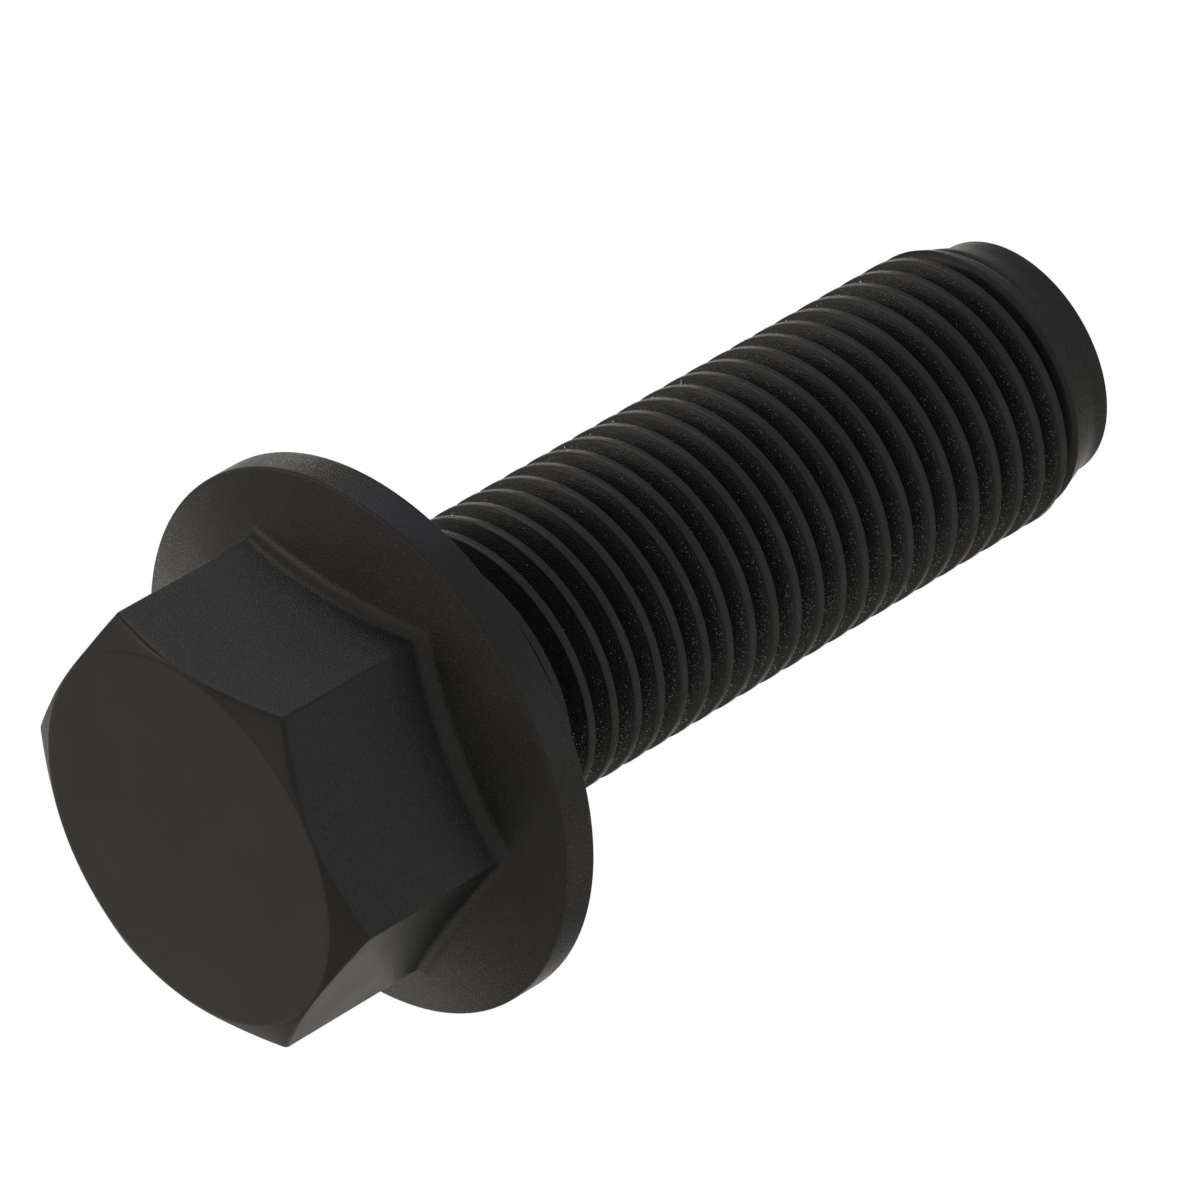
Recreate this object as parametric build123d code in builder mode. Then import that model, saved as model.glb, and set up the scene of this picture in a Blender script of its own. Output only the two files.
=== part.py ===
"""Hexagon flange bolt: a forged hexagon head on a cone-topped flange, and a shank for a fine thread.

Millimetres, +Z up. The origin is the centre of the flange's bearing face. The shank points up to
the tip, and the head hangs below, so the bolt stands on the flat face of its head.
"""

from build123d import *
from math import cos, radians, tan
import os

os.makedirs("parts", exist_ok=True)

# Shank, from the bearing face to the tip
thread_diameter = 12.0
shank_length = 35.0
underhead_radius = 0.6

# Tip: the crests taper down to a short plain pilot, narrower than the thread's core
lead_in_angle = 20.0
pilot_step = 0.85
pilot_length = 0.6

# Flange: a plain rim, then a shallow cone that climbs to the hexagon
flange_diameter = 23.0
rim_thickness = 1.5
flange_slope = 20.0

# Head: the hexagon, its chamfered flat face and the fillet round its foot
across_flats = 15.75
head_height = 10.2
chamfer_angle = 30.0
chamfer_inset = 0.08
hexagon_edge_radius = 0.3
foot_radius = 0.7

# Worked out from the sizes above
thread_radius = thread_diameter / 2
pilot_radius = thread_radius - pilot_step
lead_in_length = pilot_step / tan(radians(lead_in_angle))
pilot_start = shank_length - pilot_length
lead_in_start = pilot_start - lead_in_length

flange_radius = flange_diameter / 2
cone_rise = flange_radius * tan(radians(flange_slope))

corner_radius = across_flats / 2 / cos(radians(30))
face_radius = across_flats / 2 - chamfer_inset
chamfer_drop = (corner_radius - face_radius) * tan(radians(chamfer_angle))


with BuildPart() as flange_bolt:
    # Flange: half its section, with the cone carried on to the axis, turned round the axis
    with BuildSketch(Plane.XZ):
        with BuildLine():
            Polyline(
                (0, 0),
                (flange_radius, 0),
                (flange_radius, -rim_thickness),
                (0, -rim_thickness - cone_rise),
                close=True,
            )
        make_face()
    revolve(axis=Axis.Z)

    # Hexagon, from inside the flange to the end of the head, a corner on the +X side
    with BuildSketch(Plane.XY.offset(-head_height)):
        hexagon = RegularPolygon(radius=corner_radius, side_count=6)
        fillet(hexagon.vertices(), radius=hexagon_edge_radius)
    extrude(amount=head_height - rim_thickness)

    # Fillet where the six flats run down into the cone
    cone = flange_bolt.faces().filter_by(GeomType.CONE)[0]
    foot_edges = cone.edges().filter_by(GeomType.CIRCLE, reverse=True).filter_by(GeomType.LINE, reverse=True)
    fillet(foot_edges, radius=foot_radius)

    # Chamfer: a turned cone takes the corners off down to the round flat face
    with BuildSketch(Plane.XZ):
        with BuildLine():
            Polyline(
                (face_radius, -head_height),
                (corner_radius, -head_height),
                (corner_radius, -head_height + chamfer_drop),
                close=True,
            )
        make_face()
    revolve(axis=Axis.Z, mode=Mode.SUBTRACT)

    # Shank: cylinder, lead-in taper and pilot, turned round the axis
    with BuildSketch(Plane.XZ):
        with BuildLine():
            Polyline(
                (0, 0),
                (thread_radius, 0),
                (thread_radius, lead_in_start),
                (pilot_radius, pilot_start),
                (pilot_radius, shank_length),
                (0, shank_length),
                close=True,
            )
        make_face()
    revolve(axis=Axis.Z)

    # Fillet under the head, where the shank leaves the bearing face
    bearing_face = flange_bolt.faces().filter_by(Plane.XY).sort_by(Axis.Z)[1]
    fillet(bearing_face.edges().sort_by(SortBy.RADIUS)[0], radius=underhead_radius)

flange_bolt.part.label = "flange_bolt"
export_step(flange_bolt.part, "parts/flange_bolt.step")
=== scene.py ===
"""The hexagon flange bolt, dressed for its picture.

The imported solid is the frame, and it keeps the collision. Here one numpy surface stands for it: the
bolt's section carried round its axis, with a right-hand M12 x 1.25 thread on the shank. The bolt
stands on the flat face of its head, tip up, and the camera looks up at that face from below the
floor, as in the photograph. Sizes are in millimetres until they go into Blender, and the angles
among the classes' fields are in degrees.
"""

import logging
from dataclasses import dataclass, field
from enum import Enum
from math import atan, cos, pi, radians, tan

import bpy
import numpy as np
from mathutils import Matrix, Vector


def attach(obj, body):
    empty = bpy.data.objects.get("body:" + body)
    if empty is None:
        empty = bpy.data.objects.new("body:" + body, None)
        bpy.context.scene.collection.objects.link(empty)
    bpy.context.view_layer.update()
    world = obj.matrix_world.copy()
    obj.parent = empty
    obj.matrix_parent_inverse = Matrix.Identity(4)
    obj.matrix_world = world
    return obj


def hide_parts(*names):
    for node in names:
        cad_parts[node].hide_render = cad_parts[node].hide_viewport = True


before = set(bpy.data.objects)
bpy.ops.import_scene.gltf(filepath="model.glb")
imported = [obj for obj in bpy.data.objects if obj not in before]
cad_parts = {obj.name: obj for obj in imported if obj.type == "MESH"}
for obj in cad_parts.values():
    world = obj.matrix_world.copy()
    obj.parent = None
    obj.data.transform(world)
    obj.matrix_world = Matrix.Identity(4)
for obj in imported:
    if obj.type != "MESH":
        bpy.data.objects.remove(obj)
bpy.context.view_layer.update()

Array = np.ndarray
Pair = tuple[float, float]
Triple = tuple[float, float, float]
Colour = tuple[float, float, float, float]
Socket = bpy.types.NodeSocket
Tree = bpy.types.NodeTree

MM = 0.001
NODE = "flange_bolt"
MULTIPLY = {"operation": "MULTIPLY"}
SUBTRACT = {"operation": "SUBTRACT"}

# The angle that one side of the hexagon takes, seen from the axis
SIDE = pi / 3

log = logging.getLogger("flange_bolt")


class Hand(Enum):
    """Which way a screw thread climbs as it goes anticlockwise round the axis, seen from the tip."""

    RIGHT = 1
    LEFT = -1


class LampName(Enum):
    """The lamps. Left is the -X side of the bolt, right is +X, back is +Y and below is -Z."""

    KEY = "key"
    WINDOW = "window"
    SKY = "sky"
    LEFT = "left"
    LOW_LEFT = "low_left"
    BELOW = "below"
    BACK_LEFT = "back_left"
    BACK = "back"
    BACK_RIGHT = "back_right"
    FAR = "far"
    LOFT = "loft"
    RIGHT = "right"


class Tint(Enum):
    """Colour of a lamp's light."""

    WARM = "#fffade"
    SOFT = "#fffaf0"
    COOL = "#f0f8ff"
    BLUE = "#aab7ff"


def linear(colour: str) -> Colour:
    """Turns an sRGB hex colour into the linear one that Blender works in, by the sRGB formula.

    Args:
        colour: The colour as written, such as "#2b2a28".

    Returns:
        Red, green, blue and an alpha of one, linear.
    """
    parts = [int(colour[i:i + 2], 16) / 255 for i in (1, 3, 5)]
    red, green, blue = (p / 12.92 if p <= 0.04045 else ((p + 0.055) / 1.055) ** 2.4 for p in parts)
    return red, green, blue, 1.0


def add_node(tree: Tree, kind: str, settings: dict | None = None, **inputs) -> bpy.types.Node:
    """Adds a node, sets its properties, and fills or links its inputs.

    Args:
        tree: The node tree that gets it.
        kind: Blender's name for the node's type.
        settings: Properties of the node itself, by name.
        **inputs: Values or output sockets by input name, with _ for a space; in_0, in_1 count inputs.

    Returns:
        The new node.
    """
    node = tree.nodes.new(kind)
    for name, value in (settings or {}).items():
        setattr(node, name, value)
    for name, value in inputs.items():
        key = int(name[3:]) if name.startswith("in_") else name.replace("_", " ")
        socket = node.inputs[key]
        if isinstance(value, Socket):
            tree.links.new(value, socket)
        else:
            socket.default_value = value
    return node


def new_tree(name: str) -> tuple[bpy.types.Material, Tree]:
    """Makes a material with an empty node tree.

    Args:
        name: The material's name.

    Returns:
        The material and its node tree.
    """
    material = bpy.data.materials.new(name)
    material.use_nodes = True
    material.node_tree.nodes.clear()
    return material, material.node_tree


def ring_at(radius: Array | float, height: Array | float, angle: Array) -> Array:
    """Radius and height of one row of points, repeated for every column, shape (columns, 2)."""
    return np.stack(np.broadcast_arrays(radius, height, angle)[:2], -1).astype(float)


def between(start: Array, end: Array, shares: list[float]) -> Array:
    """Points on the straight lines from start to end, one line for each column.

    Args:
        start: Radius and height where each line begins, shape (columns, 2).
        end: Radius and height where it ends.
        shares: How far along each row of points lies, from 0 to 1.

    Returns:
        The rows, shape (rows, columns, 2).
    """
    t = np.array(shares)[:, None, None]
    return start[None] * (1 - t) + end[None] * t


def eased(before: Array, corner: Array, after: Array, setback: Array | float, steps: int = 4) -> Array:
    """Rounds a corner of the section with a quadratic curve, for all columns at once.

    The curve leaves the first side `setback` before the corner, a, and meets the second side as far
    after it, b. Its points are (1-t)^2 a + 2t(1-t) corner + t^2 b.

    Args:
        before: A point on the side that comes in, shape (columns, 2).
        corner: The corner itself.
        after: A point on the side that goes out.
        setback: How far from the corner the curve begins and ends, one value or one a column.
        steps: How many stretches the curve is drawn with.

    Returns:
        The rows, shape (steps + 1, columns, 2).
    """
    way_in, way_out = before - corner, after - corner
    way_in = way_in / np.linalg.norm(way_in, axis=1, keepdims=True)
    way_out = way_out / np.linalg.norm(way_out, axis=1, keepdims=True)
    reach = np.broadcast_to(np.asarray(setback, float), (len(corner),))[:, None]
    a, b = corner + way_in * reach, corner + way_out * reach
    t = np.linspace(0, 1, steps + 1)[:, None, None]
    return (1 - t) ** 2 * a + 2 * t * (1 - t) * corner + t ** 2 * b


def ramp(x: Array, ease: float) -> Array:
    """Nothing below zero and x above it, with the bend eased by a parabola of half-width ease."""
    return np.where(x <= -ease, 0.0, np.where(x >= ease, x, (x + ease) ** 2 / (4 * ease)))


def smooth(x: Array) -> Array:
    """The curve 3x^2 - 2x^3 between 0 and 1, level at both ends."""
    x = np.clip(x, 0, 1)
    return x * x * (3 - 2 * x)


@dataclass(frozen=True)
class Head:
    """The forged hexagon: its flats, rounded edges, turned chamfer and flat face.

    The chamfer starts chamfer_inset inside the flats. face_ease and chamfer_ease tell how far from
    its corner each easing starts, and ease_limit is the most of the chamfer's width that one may
    take. beside_edge is the angle from an edge's rounding to the mesh's column beside it.
    """

    across_flats: float = 15.75
    height: float = 10.2
    chamfer_inset: float = 0.08
    chamfer_angle: float = 30.0
    edge_rounding: float = 0.14
    face_ease: float = 0.05
    chamfer_ease: float = 0.18
    ease_limit: float = 0.42
    beside_edge: float = 0.5

    @property
    def face_radius(self) -> float:
        """Radius of the flat face, a little less than half the width across the flats."""
        return self.across_flats / 2 - self.chamfer_inset

    @property
    def corner_radius(self) -> float:
        """Radius of the hexagon's corners before they are rounded."""
        return self.across_flats / 2 / cos(SIDE / 2)

    @property
    def rounding_centre(self) -> float:
        """Distance from the axis to the centre of an edge's rounding."""
        return (self.across_flats / 2 - self.edge_rounding) / cos(SIDE / 2)

    def chamfer(self, radius: Array | float) -> Array | float:
        """Height of the chamfer's cone at a radius: it climbs from the face by the angle's tangent."""
        return (radius - self.face_radius) * tan(radians(self.chamfer_angle)) - self.height

    def columns(self, per_side: int) -> Array:
        """Angles of the mesh's columns, close together at the six edges and even between them.

        Args:
            per_side: Columns from one edge of the hexagon to the next.

        Returns:
            The angles in radians, from an edge on +X, all the way round.
        """
        half = self.edge_half_angle()
        support = half + radians(self.beside_edge)
        near = np.array([0, half / 2, half, support])
        left_over = per_side - 2 * len(near) + 1
        across = np.linspace(support, SIDE - support, left_over + 2)[1:-1]
        side = np.concatenate([near, across, SIDE - near[:0:-1]])
        return (side[None] + np.arange(6)[:, None] * SIDE).ravel()

    def from_edge(self, angle: Array) -> Array:
        """Angle from the nearest edge of the hexagon to each ray, at most half a side either way."""
        return (angle + SIDE / 2) % SIDE - SIDE / 2

    def edge_half_angle(self) -> float:
        """Half the angle that an edge's rounding takes, seen from the axis.

        The rounding meets the flat half its radius beside the ray through the corner, and its
        radius times the cosine of 30 degrees further out than its centre.

        Returns:
            The angle in radians.
        """
        return atan(self.edge_rounding / 2 / (self.rounding_centre + self.edge_rounding * cos(SIDE / 2)))

    def reach(self, angle: Array) -> Array:
        """Distance from the axis to the hexagon.

        On a flat it is half the width over the cosine of the angle from the flat's middle. At an
        edge it is where the ray meets the rounding circle, d cos x + sqrt(r^2 - d^2 sin^2 x), for
        the angle x from the edge and the circle's centre at d.

        Args:
            angle: Angles round the axis, in radians.

        Returns:
            The distances.
        """
        x, d, r = self.from_edge(angle), self.rounding_centre, self.edge_rounding
        flat = self.across_flats / 2 / np.cos(SIDE / 2 - np.abs(x))
        edge = d * np.cos(x) + np.sqrt(np.maximum(r * r - (d * np.sin(x)) ** 2, 0))
        return np.where(np.abs(x) > self.edge_half_angle(), flat, edge)

    def lean(self, angle: Array) -> Array:
        """Cosine of the angle between each ray from the axis and the way square to its flat.

        Across an edge's rounding, which turns round to face the ray, that angle goes evenly down
        to nothing and up again.

        Args:
            angle: Angles round the axis, in radians.

        Returns:
            The cosines.
        """
        x = np.abs(self.from_edge(angle))
        return np.cos((SIDE / 2 - x) * np.minimum(x / self.edge_half_angle(), 1))


@dataclass(frozen=True)
class Flange:
    """The forged flange: flat bearing face, plain rim, and the cone that climbs to the hexagon.

    slope is the cone's angle to the bearing face, foot_radius the fillet where the flats meet the
    cone, and rim_ease the easing of the rim's two corners.
    """

    diameter: float = 23.0
    rim: float = 1.5
    slope: float = 20.0
    foot_radius: float = 0.7
    rim_ease: float = 0.09

    def cone_height(self, radius: Array) -> Array:
        """Height of the cone's surface at a radius: it drops from the rim by the slope's tangent."""
        return -self.rim - (self.diameter / 2 - radius) * tan(radians(self.slope))

    def foot(self, wall: Array, lean: Array, steps: int = 9) -> Array:
        """The fillet from the cone up to the hexagon, as an arc in each column's own plane.

        Where a ray meets a flat aslant, the arc is drawn wider by one over the cosine of the slant,
        so that the fillet keeps its radius square to the flat. It runs from the angle where it
        touches the flat to the angle where it touches the cone.

        Args:
            wall: Distance from the axis to the hexagon in each column.
            lean: Cosine of the slant in each column.
            steps: How many stretches the arc is drawn with.

        Returns:
            The rows from the hexagon out to the cone, shape (steps + 1, columns, 2).
        """
        slope = np.arctan(tan(radians(self.slope)) / lean)
        turn = np.linspace(0, 1, steps + 1)[:, None]
        angle = pi + turn * (slope - pi / 2)
        touch = wall + self.foot_radius * (1 - np.sin(slope)) / lean
        centre = self.cone_height(touch) - self.foot_radius * np.cos(slope)
        radius = wall + self.foot_radius * (1 + np.cos(angle)) / lean
        return np.stack([radius, centre + self.foot_radius * np.sin(angle)], -1)


@dataclass(frozen=True)
class Shank:
    """The plain form of the shank: the fillet under the head, the lead-in taper and the pilot.

    lead_in_angle is the taper's angle to the axis, and pilot_step how far the pilot lies inside
    the crests. ledge_ease rounds the bend from the taper to the pilot, and end_ease the end.
    """

    diameter: float = 12.0
    length: float = 35.0
    underhead_radius: float = 0.6
    lead_in_angle: float = 20.0
    pilot_step: float = 0.85
    pilot_length: float = 0.6
    ledge_ease: float = 0.42
    end_ease: float = 0.04

    @property
    def pilot_radius(self) -> float:
        """Radius of the plain pilot at the tip."""
        return self.diameter / 2 - self.pilot_step

    @property
    def pilot_start(self) -> float:
        """Height where the taper ends and the pilot begins."""
        return self.length - self.pilot_length

    def taper(self, height: Array) -> Array:
        """Radius of the blank before threading: full, then falling along the lead-in taper."""
        cone = self.pilot_radius + (self.pilot_start - height) * tan(radians(self.lead_in_angle))
        return np.minimum(self.diameter / 2, cone)

    def underhead(self, steps: int = 8) -> Array:
        """The fillet under the head, a quarter circle from the bearing face up to the shank.

        Args:
            steps: How many stretches it is drawn with.

        Returns:
            Radius and height of its points, shape (steps + 1, 2).
        """
        turn = np.linspace(0, pi / 2, steps + 1)
        r = self.underhead_radius
        return np.stack([self.diameter / 2 + r * (1 - np.sin(turn)), r * (1 - np.cos(turn))], -1)


@dataclass(frozen=True)
class Thread:
    """A rolled metric thread: crest and root flats, eased edges, and its run-out under the head.

    The shares and the two easings are told in pitches. flank_shift and root_row place two rows of
    the mesh: how far from the flank's middle, and at what share of the root's easing. run_out
    holds the heights where the depth begins and ends to grow, run_in those where it begins and
    ends to fade. crest_at is the height of a crest's middle on the +X side.
    """

    pitch: float = 1.25
    depth_share: float = 0.6134
    crest_share: float = 0.29
    root_share: float = 0.05
    crest_ease: float = 0.02
    root_ease: float = 0.045
    flank_shift: float = 0.01
    root_row: float = 0.05
    run_out: Pair = (1.4, 3.6)
    run_in: Pair = (32.7, 33.8)
    crest_at: float = 0.327
    hand: Hand = Hand.RIGHT

    @property
    def flank(self) -> Pair:
        """Where the flank begins and ends, in pitches from the middle of a crest."""
        return self.crest_share / 2, 0.5 - self.root_share / 2

    def depth(self, share: Array) -> Array:
        """How deep the groove is at a share of the pitch from the middle of a crest.

        The flank is a straight line from the crest's edge to the root's, made of two eased ramps,
        one that starts the drop and one that ends it.

        Args:
            share: Pitches from the crest's middle, any number.

        Returns:
            The depth in millimetres.
        """
        off = np.abs((share + 0.5) % 1 - 0.5)
        top, bottom = self.flank
        drop = ramp(off - top, self.crest_ease) - ramp(off - bottom, self.root_ease)
        return self.pitch * self.depth_share * drop / (bottom - top)

    def rows(self) -> Array:
        """Places of the mesh's rows in one pitch, on the crest's edges, the flanks and the root.

        Returns:
            The places in pitches from the middle of a crest, from 0 to below 1.
        """
        top, bottom = self.flank
        side = [top - self.crest_ease, top, top + self.crest_ease, (top + bottom) / 2 - self.flank_shift,
                bottom - self.root_ease, bottom - self.root_ease * self.root_row]
        return np.array([0.0, *side, 0.5, *(1 - x for x in reversed(side))])

    def full(self, height: Array) -> Array:
        """Share of the full depth at a height.

        It grows from none to all along the run-out under the head, and falls back to none along
        the run-in at the tip, so that the last groove ends on the taper.

        Args:
            height: Heights, millimetres.

        Returns:
            The shares, from 0 to 1.
        """
        (foot, full), (fading, gone) = self.run_out, self.run_in
        return smooth((height - foot) / (full - foot)) * smooth((gone - height) / (gone - fading))


@dataclass
class Surface:
    """Vertices and faces gathered from arrays, and made one mesh at the end."""

    points: list[Array] = field(default_factory=list)
    faces: list[Array] = field(default_factory=list)
    count: int = 0

    def add(self, radius: Array | float, angle: Array | float, height: Array | float) -> Array:
        """Adds points given by radius, angle and height.

        Args:
            radius: Distances from the axis, millimetres.
            angle: Angles round the axis, radians.
            height: Heights, millimetres.

        Returns:
            The numbers of the new vertices, in the arrays' common shape.
        """
        radius, angle, height = np.broadcast_arrays(radius, angle, height)
        points = np.stack([radius * np.cos(angle), radius * np.sin(angle), height], -1)
        self.points.append(points.reshape(-1, 3))
        numbers = self.count + np.arange(radius.size).reshape(radius.shape)
        self.count += radius.size
        return numbers

    def bands(self, rows: Array) -> None:
        """Joins rows of closed rings with quads, each row's last point to its first.

        Args:
            rows: Vertex numbers, shape (rows, columns), in the order that keeps faces outwards.
        """
        low, high = rows[:-1], rows[1:]
        after_low, after_high = np.roll(low, -1, axis=1), np.roll(high, -1, axis=1)
        self.faces.append(np.stack([low, after_low, after_high, high], -1).reshape(-1, 4))

    def fan(self, ring: Array, pole: int, opens: bool) -> None:
        """Joins a ring to its pole with triangles.

        Args:
            ring: Vertex numbers of the ring.
            pole: The pole's number.
            opens: True where the surface starts at this pole, False where it ends there.
        """
        after = np.roll(ring, -1)
        centre = np.full(len(ring), pole)
        self.faces.append(np.stack([centre, after, ring] if opens else [ring, after, centre], -1))

    def mesh(self, name: str) -> bpy.types.Mesh:
        """Makes the Blender mesh, in metres and smooth, without the vertices that no face uses.

        Args:
            name: The mesh's name.

        Returns:
            The mesh.
        """
        used = np.zeros(self.count, bool)
        for group in self.faces:
            used[group] = True
        number = np.cumsum(used) - 1
        points = np.concatenate(self.points)[used] * MM
        faces = [face for group in self.faces for face in number[group].tolist()]
        mesh = bpy.data.meshes.new(name)
        mesh.from_pydata(points.tolist(), [], faces)
        mesh.polygons.foreach_set("use_smooth", np.ones(len(mesh.polygons), bool))
        mesh.update()
        return mesh


@dataclass(frozen=True)
class BlackOxideSteel:
    """Black oxide on forged and rolled steel, oiled.

    The bath turns the skin of the steel into a thin dark layer of fine magnetite crystals, and oil
    fills it. The eye gets a soft, nearly neutral black with a dull sheen and a fine grain.
    Magnetite conducts less than steel, so the layer is drawn two thirds metal, with a grey
    specular tint that holds back its brightening at a shallow angle. Where a crystal lies aslant
    the oil on it glints. The coat draws these glints, strongest in the grooves of the thread,
    which are rolled and turned to every side.

    cloud, grain and crystal are widths. cloud_range holds the noise between which the roughness
    goes from its first value to its second. crystal_share is the share of crystals that glint,
    and crystal_edge the width of the step that picks them. grain_share and glint hold the values
    outside the grooves and inside them. The last three are pairs of places between which a finish
    goes over: turned, heights over the chamfer's cone; crest, depths below the thread's crests;
    and tip, distances from the end of the shank.
    """

    name: str = "black_oxide_on_forged_steel"
    dark: str = "#252423"
    light: str = "#2b2a29"
    metallic: float = 0.65
    roughness: Pair = (0.36, 0.40)
    ior: float = 1.5
    specular: float = 0.15
    edge: str = "#979592"
    cloud: float = 2.2
    cloud_range: Pair = (0.3, 0.7)
    grain: float = 0.06
    grain_depth: float = 0.035
    grain_share: Pair = (0.37, 1.0)
    crystal: float = 0.05
    crystal_share: float = 0.08
    crystal_edge: float = 0.001
    crystal_tilt: float = 0.5
    glint: Pair = (0.12, 0.8)
    glint_roughness: float = 0.15
    turned: Pair = (0.04, 0.2)
    crest: Pair = (0.16, 0.07)
    tip: Pair = (3.7, 2.7)

    def material(self, head: Head, shank: Shank) -> bpy.types.Material:
        """Builds the node material.

        Cloudy patches about 2 mm wide shift the colour and the roughness a little, as the bath
        leaves them. The grain and the glints come on top.

        Args:
            head: The head, whose face and chamfer are turned.
            shank: The shank, which carries the thread.

        Returns:
            The material.
        """
        material, tree = new_tree(self.name)
        place = add_node(tree, "ShaderNodeTexCoord").outputs["Object"]
        flat = add_node(tree, "ShaderNodeVectorMath", MULTIPLY, in_0=place,
                        in_1=(1, 1, 0)).outputs["Vector"]
        radius = add_node(tree, "ShaderNodeVectorMath", {"operation": "LENGTH"}, in_0=flat).outputs["Value"]
        height = add_node(tree, "ShaderNodeSeparateXYZ", Vector=place).outputs["Z"]
        forged = self.forged(tree, radius, height, head)
        groove = self.groove(tree, radius, height, shank)
        bump = self.bump(tree, place, groove, forged)
        glint, tilted = self.glints(tree, place, groove, forged)

        cloud = add_node(tree, "ShaderNodeTexNoise", Vector=place, Scale=1 / (self.cloud * MM), Detail=3.0,
                         Roughness=0.55).outputs["Fac"]
        colour = add_node(tree, "ShaderNodeMix", {"data_type": "RGBA"}, in_0=cloud, in_6=linear(self.dark),
                          in_7=linear(self.light)).outputs[2]
        rough = add_node(tree, "ShaderNodeMapRange", Value=cloud,
                         From_Min=self.cloud_range[0], From_Max=self.cloud_range[1],
                         To_Min=self.roughness[0], To_Max=self.roughness[1]).outputs["Result"]
        shader = add_node(tree, "ShaderNodeBsdfPrincipled", Base_Color=colour, Roughness=rough, Normal=bump,
                          Metallic=self.metallic, IOR=self.ior, Specular_IOR_Level=self.specular,
                          Specular_Tint=linear(self.edge), Coat_Weight=glint, Coat_Normal=tilted,
                          Coat_Roughness=self.glint_roughness, Coat_IOR=self.ior)
        add_node(tree, "ShaderNodeOutputMaterial", Surface=shader.outputs["BSDF"])
        return material

    def forged(self, tree: Tree, radius: Socket, height: Socket, head: Head) -> Socket:
        """Tells the forged skin from the head's face and chamfer, which are turned after forging.

        The turned part lies within a few hundredths of a millimetre of the chamfer's cone, or of
        the face inside it.

        Args:
            tree: The material's node tree.
            radius: Distance from the axis.
            height: Height above the bearing face.
            head: The head.

        Returns:
            Zero on the turned part and one on the forged skin.
        """
        inner, outer = head.face_radius, head.corner_radius
        cone = add_node(tree, "ShaderNodeMapRange", Value=radius, From_Min=inner * MM, From_Max=outer * MM,
                        To_Min=head.chamfer(inner) * MM, To_Max=head.chamfer(outer) * MM).outputs["Result"]
        above = add_node(tree, "ShaderNodeMath", SUBTRACT, in_0=height, in_1=cone).outputs["Value"]
        return add_node(tree, "ShaderNodeMapRange", Value=above, From_Min=self.turned[0] * MM,
                        From_Max=self.turned[1] * MM).outputs["Result"]

    def groove(self, tree: Tree, radius: Socket, height: Socket, shank: Shank) -> Socket:
        """Tells the thread's grooves, inside the crests and short of the tip, from the rest.

        Args:
            tree: The material's node tree.
            radius: Distance from the axis.
            height: Height above the bearing face.
            shank: The shank.

        Returns:
            One in a groove and zero outside it.
        """
        first, last = (shank.diameter / 2 - depth for depth in self.crest)
        inside = add_node(tree, "ShaderNodeMapRange", Value=radius, From_Min=first * MM, From_Max=last * MM,
                          To_Min=1.0, To_Max=0.0).outputs["Result"]
        first, last = (shank.length - distance for distance in self.tip)
        below = add_node(tree, "ShaderNodeMapRange", Value=height, From_Min=first * MM, From_Max=last * MM,
                         To_Min=1.0, To_Max=0.0).outputs["Result"]
        return add_node(tree, "ShaderNodeMath", MULTIPLY, in_0=inside, in_1=below).outputs["Value"]

    def bump(self, tree: Tree, place: Socket, groove: Socket, forged: Socket) -> Socket:
        """Raises the grain: deepest in the grooves, less on the smooth blank, none where turned.

        The crystals are a few thousandths of a millimetre wide, too fine to show, so the grain is
        drawn coarser, as a noise.

        Args:
            tree: The material's node tree.
            place: Object coordinates.
            groove: One in the thread's grooves.
            forged: One on the forged skin.

        Returns:
            The normal of the grain.
        """
        grain = add_node(tree, "ShaderNodeTexNoise", Vector=place, Scale=1 / (self.grain * MM), Detail=1.0,
                         Roughness=0.5).outputs["Fac"]
        strength = add_node(tree, "ShaderNodeMapRange", Value=groove, To_Min=self.grain_share[0],
                            To_Max=self.grain_share[1]).outputs["Result"]
        strength = add_node(tree, "ShaderNodeMath", MULTIPLY, in_0=strength, in_1=forged).outputs["Value"]
        return add_node(tree, "ShaderNodeBump", Strength=strength, Distance=self.grain_depth * MM,
                        Height=grain).outputs["Normal"]

    def glints(self, tree: Tree, place: Socket, groove: Socket, forged: Socket) -> tuple[Socket, Socket]:
        """Picks the crystals that glint, and tilts the oil on each.

        Every cell of the texture has one random colour. Its red picks the crystals, and its three
        parts less a half, times the tilt, lean the surface's normal.

        Args:
            tree: The material's node tree.
            place: Object coordinates.
            groove: One in the thread's grooves.
            forged: One on the forged skin.

        Returns:
            The weight of the coat and its normal.
        """
        cell = add_node(tree, "ShaderNodeTexVoronoi", Vector=place,
                        Scale=1 / (self.crystal * MM)).outputs["Color"]
        lot = add_node(tree, "ShaderNodeSeparateColor", Color=cell).outputs["Red"]
        least = 1 - self.crystal_share
        picked = add_node(tree, "ShaderNodeMapRange", Value=lot, From_Min=least,
                          From_Max=least + self.crystal_edge).outputs["Result"]
        weight = add_node(tree, "ShaderNodeMapRange", Value=groove, To_Min=self.glint[0],
                          To_Max=self.glint[1]).outputs["Result"]
        for share in (picked, forged):
            weight = add_node(tree, "ShaderNodeMath", MULTIPLY, in_0=weight, in_1=share).outputs["Value"]

        lean = add_node(tree, "ShaderNodeVectorMath", SUBTRACT, in_0=cell,
                        in_1=(0.5, 0.5, 0.5)).outputs["Vector"]
        lean = add_node(tree, "ShaderNodeVectorMath", {"operation": "SCALE"}, in_0=lean,
                        Scale=self.crystal_tilt).outputs["Vector"]
        square = add_node(tree, "ShaderNodeNewGeometry").outputs["Normal"]
        tilted = add_node(tree, "ShaderNodeVectorMath", {"operation": "ADD"}, in_0=square,
                          in_1=lean).outputs["Vector"]
        tilted = add_node(tree, "ShaderNodeVectorMath", {"operation": "NORMALIZE"},
                          in_0=tilted).outputs["Vector"]
        return weight, tilted


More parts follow.
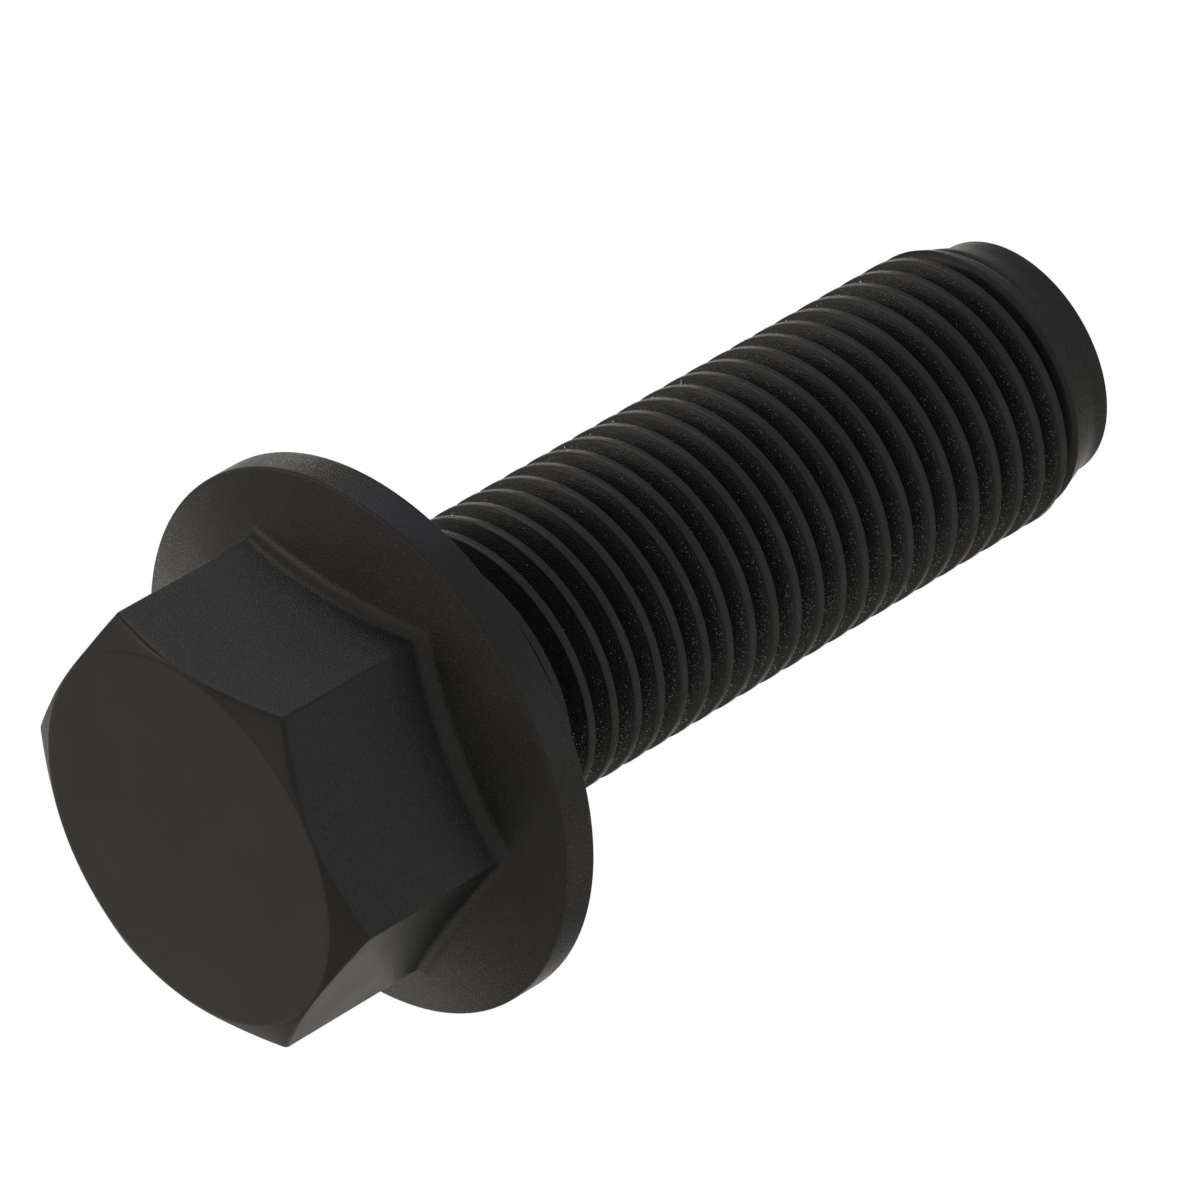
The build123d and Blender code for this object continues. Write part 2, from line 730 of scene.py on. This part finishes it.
@dataclass(frozen=True)
class StudioPaper:
    """Matt white background paper, which fades into the white behind it away from the bolt."""

    name: str = "matt_background_paper"
    paper: str = "#f0f0ee"
    fade: Pair = (60.0, 260.0)

    def material(self) -> bpy.types.Material:
        """Builds the node material.

        Near the bolt it is lit paper that takes the shadow. Away from it, along the distances in
        fade, it goes over to a plain white of strength 1, which is the background's. From below
        it is clear, because the photograph looks up at the bolt's head from there.

        Returns:
            The material.
        """
        material, tree = new_tree(self.name)
        place = add_node(tree, "ShaderNodeTexCoord").outputs["Object"]
        away = add_node(tree, "ShaderNodeVectorMath", {"operation": "LENGTH"}, in_0=place).outputs["Value"]
        share = add_node(tree, "ShaderNodeMapRange", {"interpolation_type": "SMOOTHSTEP"}, Value=away,
                         From_Min=self.fade[0] * MM, From_Max=self.fade[1] * MM).outputs["Result"]
        lit = add_node(tree, "ShaderNodeBsdfDiffuse", Color=linear(self.paper)).outputs["BSDF"]
        white = add_node(tree, "ShaderNodeEmission", Strength=1.0).outputs["Emission"]
        clear = add_node(tree, "ShaderNodeBsdfTransparent").outputs["BSDF"]
        below = add_node(tree, "ShaderNodeNewGeometry").outputs["Backfacing"]
        sheet = add_node(tree, "ShaderNodeMixShader", in_0=share, in_1=lit, in_2=white).outputs["Shader"]
        both = add_node(tree, "ShaderNodeMixShader", in_0=below, in_1=sheet, in_2=clear).outputs["Shader"]
        add_node(tree, "ShaderNodeOutputMaterial", Surface=both)
        return material


@dataclass(frozen=True)
class FlangeBolt:
    """The whole bolt: head, flange, shank and thread, built as one closed surface.

    The thread's part of the mesh lies between the heights plain_below and plain_above, and its
    rows keep row_gap from both.
    """

    head: Head = Head()
    flange: Flange = Flange()
    shank: Shank = Shank()
    thread: Thread = Thread()
    finish: BlackOxideSteel = BlackOxideSteel()
    columns_per_side: int = 32
    plain_below: float = 1.1
    plain_above: float = 33.75
    row_gap: float = 0.015

    def head_rows(self, angle: Array) -> Array:
        """The section from the head's face out over the hexagon, flange and fillet, to the shank.

        In each column the section is a line through the face, the chamfer, the flat, the fillet at
        its foot, the cone, the rim, the bearing face and the fillet under the head. Corners are
        eased, and rows stand close beside each easing to hold the flat parts flat.

        Args:
            angle: The columns' angles.

        Returns:
            Radius and height, shape (rows, columns, 2).
        """
        head, flange, shank = self.head, self.flange, self.shank
        wall = head.reach(angle)
        middle = ring_at(0, -head.height, angle)
        lip = ring_at(head.face_radius, -head.height, angle)
        brow = ring_at(wall, head.chamfer(wall), angle)
        above_brow = brow + [0, 1]
        foot = flange.foot(wall, head.lean(angle))
        rim_low = ring_at(flange.diameter / 2, -flange.rim, angle)
        rim_high = ring_at(flange.diameter / 2, 0, angle)
        inwards = ring_at(shank.diameter / 2, 0, angle)
        under = shank.underhead()

        room = head.ease_limit * (wall - head.face_radius) / cos(radians(head.chamfer_angle))
        brow_ease = np.minimum(head.chamfer_ease, room)
        flat_low = brow + np.stack([0 * wall, brow_ease], -1)
        rows = [
            between(middle, lip, [0.3, 0.6, 0.9, 0.97]),
            eased(middle, lip, brow, np.minimum(head.face_ease, room), 3),
            between(lip, brow, [0.5]),
            eased(lip, brow, above_brow, brow_ease, 6),
            between(flat_low, foot[0], [0.05, 0.2, 0.4, 0.6, 0.8, 0.93, 0.98]),
            foot,
            between(foot[-1], rim_low, [0.06, 0.3, 0.6, 0.85, 0.93]),
            eased(foot[-1], rim_low, rim_high, flange.rim_ease),
            between(rim_low, rim_high, [0.15, 0.5, 0.85]),
            eased(rim_low, rim_high, inwards, flange.rim_ease),
            between(rim_high, ring_at(under[0, 0], 0, angle), [0.06, 0.35, 0.7, 0.95]),
            np.broadcast_to(under[:, None], (len(under), len(angle), 2)),
            between(ring_at(under[-1, 0], under[-1, 1], angle),
                    ring_at(shank.diameter / 2, self.plain_below, angle), [0.4, 1.0]),
        ]
        return np.concatenate(rows)

    def tip_rows(self, angle: Array) -> Array:
        """The section from the end of the thread over the pilot to the end face.

        The taper bends softly into the pilot, as a rolled end does.

        Args:
            angle: The columns' angles.

        Returns:
            Radius and height, shape (rows, columns, 2).
        """
        shank = self.shank
        start = ring_at(shank.taper(np.array(self.plain_above)), self.plain_above, angle)
        ledge = ring_at(shank.pilot_radius, shank.pilot_start, angle)
        end = ring_at(shank.pilot_radius, shank.length, angle)
        middle = ring_at(0, shank.length, angle)
        return np.concatenate([
            between(start, ledge, [0.0, 0.2]),
            eased(start, ledge, end, shank.ledge_ease, 8),
            eased(ledge, end, middle, shank.end_ease, 5),
            between(end, middle, [0.05, 0.3, 0.6]),
        ])

    def threaded(self, surface: Surface, angle: Array, low: Array, high: Array) -> None:
        """Lays the threaded part between two rings.

        Every row keeps to one place on the thread's profile, so it climbs by one pitch in a turn,
        and its last column meets the first column of the row one pitch higher. The radius is the
        blank's less the groove's depth there. The rows have some turns to spare at either end.
        What lies above or below the two rings is left out, and the gaps at the rings are filled
        with quads, or with five-sided faces where a row ends.

        Args:
            surface: Gets the vertices and faces.
            angle: The columns' angles.
            low: Vertex numbers of the ring at the thread's foot.
            high: Vertex numbers of the ring at its end.
        """
        thread, shank = self.thread, self.shank
        per_pitch, spare = len(thread.rows()), 2
        turns = np.arange(-spare, int(self.plain_above / thread.pitch) + spare)
        share = (turns[:, None] + thread.rows()[None]).ravel()
        climb = thread.hand.value * thread.pitch * angle / (2 * pi)
        height = thread.crest_at + thread.pitch * share[:, None] + climb[None]
        blank = shank.taper(height)
        groove = shank.diameter / 2 - thread.depth(share)[:, None] * thread.full(height)
        rows = surface.add(np.minimum(blank, groove), angle[None], height)

        # One more column closes the turn: it is the first column, one pitch further up
        step = thread.hand.value * per_pitch
        rows = np.concatenate([rows, np.roll(rows[:, :1], -step, axis=0)], axis=1)
        first = (height < self.plain_below + self.row_gap).sum(0)
        last = (height < self.plain_above - self.row_gap).sum(0) - 1
        first, last = np.append(first, first[0] - step), np.append(last, last[0] - step)
        low, high = np.append(low, low[0]), np.append(high, high[0])

        # Quads between the rows that both columns of a strip have
        f0, f1, l0, l1 = first[:-1], first[1:], last[:-1], last[1:]
        i, j = np.indices((len(rows) - 1, rows.shape[1] - 1))
        whole = (i >= np.maximum(f0, f1)) & (i < np.minimum(l0, l1))
        i, j = i[whole], j[whole]
        surface.faces.append(np.stack([rows[i, j], rows[i, j + 1], rows[i + 1, j + 1], rows[i + 1, j]], -1))

        # The gap at the foot, and then the one at the end: first where both columns have the same
        # rows, then where one has a row more
        strips = np.arange(len(f0))
        for picked, extra in ((f0 == f1, False), (f0 != f1, True)):
            k = strips[picked]
            loop = [low[k], low[k + 1], rows[f1[k], k + 1]]
            loop += [rows[f0[k], k + 1]] * extra
            surface.faces.append(np.stack([*loop, rows[f0[k], k]], -1))
        for picked, extra in ((l0 == l1, False), (l0 != l1, True)):
            k = strips[picked]
            loop = [rows[l1[k], k], rows[l1[k], k + 1], high[k + 1], high[k]]
            loop += [rows[l0[k], k]] * extra
            surface.faces.append(np.stack(loop, -1))

    def build(self) -> bpy.types.Object:
        """Builds the bolt's surface from the pole of its head's face to the pole of its tip.

        Returns:
            The bolt's object, at the origin, on the body "root", in place of the CAD solid.
        """
        surface = Surface()
        angle = self.head.columns(self.columns_per_side)
        head, tip = self.head_rows(angle), self.tip_rows(angle)
        pole = surface.add(0.0, 0.0, -self.head.height)
        head_rings = surface.add(head[..., 0], angle[None], head[..., 1])
        tip_rings = surface.add(tip[..., 0], angle[None], tip[..., 1])
        end = surface.add(0.0, 0.0, self.shank.length)
        surface.fan(head_rings[0], int(pole), opens=True)
        surface.bands(head_rings)
        self.threaded(surface, angle, head_rings[-1], tip_rings[0])
        surface.bands(tip_rings)
        surface.fan(tip_rings[-1], int(end), opens=False)
        piece = bpy.data.objects.new("bolt_surface", surface.mesh("bolt_surface"))
        bpy.context.scene.collection.objects.link(piece)
        piece.data.materials.append(self.finish.material(self.head, self.shank))
        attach(piece, "root")
        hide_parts(NODE)
        log.info("bolt: %d faces, %d columns, %d threads", len(piece.data.polygons), len(angle),
                 int(self.plain_above / self.thread.pitch))
        return piece


@dataclass(frozen=True)
class Lamp:
    """A square soft box. Its brightness is told against the white background's 1.

    It faces the place on the axis at the height aim, and hangs the distance away from it.
    """

    name: LampName
    towards: Triple
    side: float
    brightness: float
    tint: Tint
    away: float = 450.0
    aim: float = 12.0

    def hang(self) -> bpy.types.Object:
        """Makes the lamp in its place, turned to the bolt.

        The power of a square lamp is its brightness times its area times pi.

        Returns:
            The lamp's object.
        """
        data = bpy.data.lights.new(f"lamp_{self.name.value}", "AREA")
        data.shape = "SQUARE"
        data.size = self.side * MM
        data.energy = self.brightness * (self.side * MM) ** 2 * pi
        data.color = linear(self.tint.value)[:3]
        lamp = bpy.data.objects.new(data.name, data)
        direction = Vector(self.towards).normalized()
        lamp.location = Vector((0, 0, self.aim * MM)) + direction * self.away * MM
        lamp.rotation_euler = direction.to_track_quat("Z", "Y").to_euler()
        lamp.visible_camera = False
        bpy.context.scene.collection.objects.link(lamp)
        return lamp


@dataclass(frozen=True)
class Studio:
    """The floor, the white surroundings and the lamps, for a bolt that stands on its head.

    floor_gap keeps the floor clear of the head's face. daylight is the strength of the even white
    that lights the bolt. Of the lamps, three hang high on the left, three low on the left and
    below, three at the back, and three weaker ones fill in.
    """

    head: Head
    floor_gap: float = 0.02
    floor_radius: float = 2600.0
    floor_sides: int = 96
    daylight: float = 0.6
    paper: StudioPaper = StudioPaper()
    lamps: tuple[Lamp, ...] = (
        Lamp(LampName.KEY, (-0.69, -0.66, 0.30), 75.0, 16.0, Tint.WARM),
        Lamp(LampName.SKY, (-0.82, 0.02, 0.58), 75.0, 13.5, Tint.SOFT),
        Lamp(LampName.WINDOW, (-0.40, -0.81, 0.42), 140.0, 3.8, Tint.BLUE),
        Lamp(LampName.LEFT, (-0.94, -0.12, -0.31), 330.0, 0.85, Tint.COOL),
        Lamp(LampName.LOW_LEFT, (-0.70, -0.26, -0.67), 60.0, 24.0, Tint.SOFT),
        Lamp(LampName.BELOW, (-0.12, -0.03, -0.99), 140.0, 2.0, Tint.WARM),
        Lamp(LampName.BACK_LEFT, (-0.79, 0.59, -0.19), 140.0, 6.5, Tint.SOFT),
        Lamp(LampName.BACK, (-0.52, 0.80, -0.32), 140.0, 6.0, Tint.WARM),
        Lamp(LampName.BACK_RIGHT, (0.62, 0.54, 0.56), 140.0, 1.7, Tint.WARM),
        Lamp(LampName.FAR, (-0.20, 0.97, 0.12), 330.0, 0.9, Tint.SOFT),
        Lamp(LampName.LOFT, (-0.38, 0.47, 0.80), 400.0, 0.65, Tint.SOFT),
        Lamp(LampName.RIGHT, (0.84, -0.17, 0.52), 140.0, 1.5, Tint.COOL),
    )

    def floor(self) -> bpy.types.Object:
        """Makes the round paper floor that the bolt stands on.

        The floor hides nothing from the lamps and from reflections, which show the white
        surroundings in its place, because the bolt is also lit and looked at from below.

        Returns:
            The floor's object.
        """
        surface = Surface()
        height = -self.head.height - self.floor_gap
        angle = np.linspace(0, 2 * pi, self.floor_sides, endpoint=False)
        ring = surface.add(self.floor_radius, angle, height)
        centre = surface.add(0.0, 0.0, height)
        surface.fan(ring, int(centre), opens=False)
        floor = bpy.data.objects.new("studio_floor", surface.mesh("studio_floor"))
        floor.data.materials.append(self.paper.material())
        floor.visible_diffuse = floor.visible_glossy = floor.visible_transmission = False
        floor.visible_shadow = floor.visible_volume_scatter = False
        bpy.context.scene.collection.objects.link(floor)
        return floor

    def surroundings(self) -> None:
        """White of strength 1 for the camera and in reflections, and even daylight for the rest."""
        world = bpy.data.worlds.new("white_studio")
        world.use_nodes = True
        tree = world.node_tree
        tree.nodes.clear()
        path = add_node(tree, "ShaderNodeLightPath").outputs
        seen = path["Is Camera Ray"]
        for ray in ("Is Glossy Ray", "Is Transmission Ray"):
            seen = add_node(tree, "ShaderNodeMath", {"operation": "MAXIMUM"}, in_0=seen,
                            in_1=path[ray]).outputs["Value"]
        strength = add_node(tree, "ShaderNodeMapRange", Value=seen, To_Min=self.daylight,
                            To_Max=1.0).outputs["Result"]
        white = add_node(tree, "ShaderNodeBackground", Color=(1, 1, 1, 1), Strength=strength)
        add_node(tree, "ShaderNodeOutputWorld", Surface=white.outputs["Background"])
        bpy.context.scene.world = world

    def build(self) -> None:
        """Sets up the floor, the surroundings and the lamps."""
        self.floor()
        self.surroundings()
        for lamp in self.lamps:
            lamp.hang()
        log.info("studio: floor, surroundings and %d lamps", len(self.lamps))


@dataclass(frozen=True)
class Portrait:
    """The photograph's camera: where it stands, what it aims at, and which way is up in its frame.

    The photograph's edges of the head, flange, thread and tip were matched to find it. It is a
    long lens, far away, below the floor and looking up at the face of the head. clip holds the
    nearest and the farthest distance that it sees.
    """

    eye: Triple = (224.28, -237.12, -213.31)
    aim: Triple = (3.609, -3.811, 8.031)
    up: Triple = (-0.4316, -0.8013, 0.4144)
    lens: float = 306.0
    sensor: float = 36.0
    clip: Pair = (10.0, 20000.0)

    def place(self) -> bpy.types.Object:
        """Makes the camera and hands it to the scene.

        Returns:
            The camera's object.
        """
        data = bpy.data.cameras.new("portrait")
        data.sensor_width, data.lens = self.sensor, self.lens
        data.clip_start, data.clip_end = (distance * MM for distance in self.clip)
        eye, aim = Vector(self.eye) * MM, Vector(self.aim) * MM
        back = (eye - aim).normalized()
        right = Vector(self.up).cross(back).normalized()
        turned = Matrix((right, back.cross(right), back)).transposed()
        camera = bpy.data.objects.new("portrait", data)
        camera.matrix_world = Matrix.Translation(eye) @ turned.to_4x4()
        bpy.context.scene.collection.objects.link(camera)
        bpy.context.scene.camera = camera
        log.info("camera: %.0f mm lens, %.0f mm from the bolt", self.lens, (eye - aim).length / MM)
        return camera


def main() -> None:
    """Builds the camera, the studio and the bolt, in that order."""
    logging.basicConfig(level=logging.INFO, format="%(name)s: %(message)s")
    bpy.context.scene.view_settings.view_transform = "Standard"
    bolt = FlangeBolt()
    Portrait().place()
    Studio(bolt.head).build()
    bolt.build()


if __name__ == "__main__":
    main()
